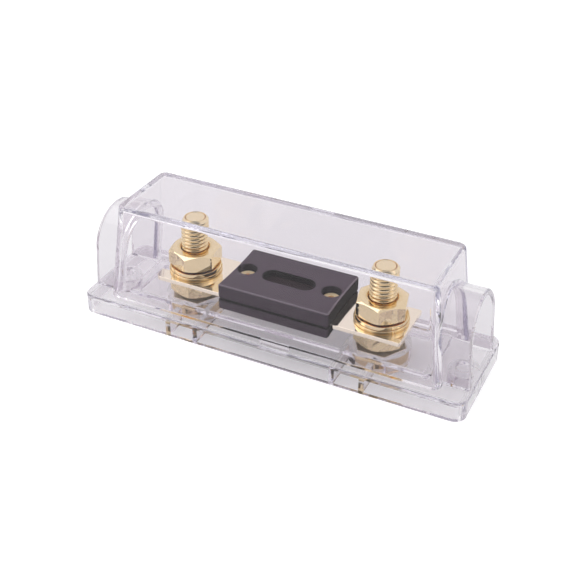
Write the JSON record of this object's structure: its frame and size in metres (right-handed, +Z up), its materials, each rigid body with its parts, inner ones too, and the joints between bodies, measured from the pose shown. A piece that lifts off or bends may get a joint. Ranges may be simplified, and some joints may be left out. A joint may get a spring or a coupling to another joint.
{
  "type": "anl fuse holder",
  "caption": "Clear two-piece holder for a bolt-down strip fuse, with a lift-off cover, an arched cable tunnel at each end and threaded studs.",
  "frame": {"origin": "middle of the base's underside", "axes": "+X along the holder through both studs, +Z up out of the base, the way the cover lifts; the picture looks from -Y"},
  "size_m": [0.1232, 0.036, 0.0375],
  "materials": {
    "clear_plastic": "polished clear moulding",
    "gold_plate": "bright gold plate on brass",
    "fuse_plastic": "satin black moulding",
    "window_pane": "smoked clear pane"
  },
  "bodies": {
    "holder": {"base": "clear_plastic", "fuse_element": "gold_plate", "fuse_body_top": "fuse_plastic", "fuse_body_bottom": "fuse_plastic", "fuse_window_pane": "window_pane", "fuse_rivet_left": "gold_plate", "fuse_rivet_right": "gold_plate", "stud_bolt_left": "gold_plate", "stud_bolt_right": "gold_plate", "seat_nut_left": "gold_plate", "seat_nut_right": "gold_plate", "flat_washer_left": "gold_plate", "flat_washer_right": "gold_plate", "spring_washer_left": "gold_plate", "spring_washer_right": "gold_plate"},
    "cover": {"cover": "clear_plastic"},
    "clamp_nut_left": {"clamp_nut_left": "gold_plate"},
    "clamp_nut_right": {"clamp_nut_right": "gold_plate"}
  },
  "joints": [
    {"name": "cover_lift", "type": "slide", "parent": "holder", "child": "cover", "axis": [0, 0, 1], "range_m": [0, 0.04]},
    {"name": "clamp_nut_left_turn", "type": "hinge", "parent": "holder", "child": "clamp_nut_left", "pos_m": [-0.0305, 0, 0.0195], "axis": [0, 0, 1], "continuous": true},
    {"name": "clamp_nut_right_turn", "type": "hinge", "parent": "holder", "child": "clamp_nut_right", "pos_m": [0.0305, 0, 0.0195], "axis": [0, 0, 1], "continuous": true}
  ]
}
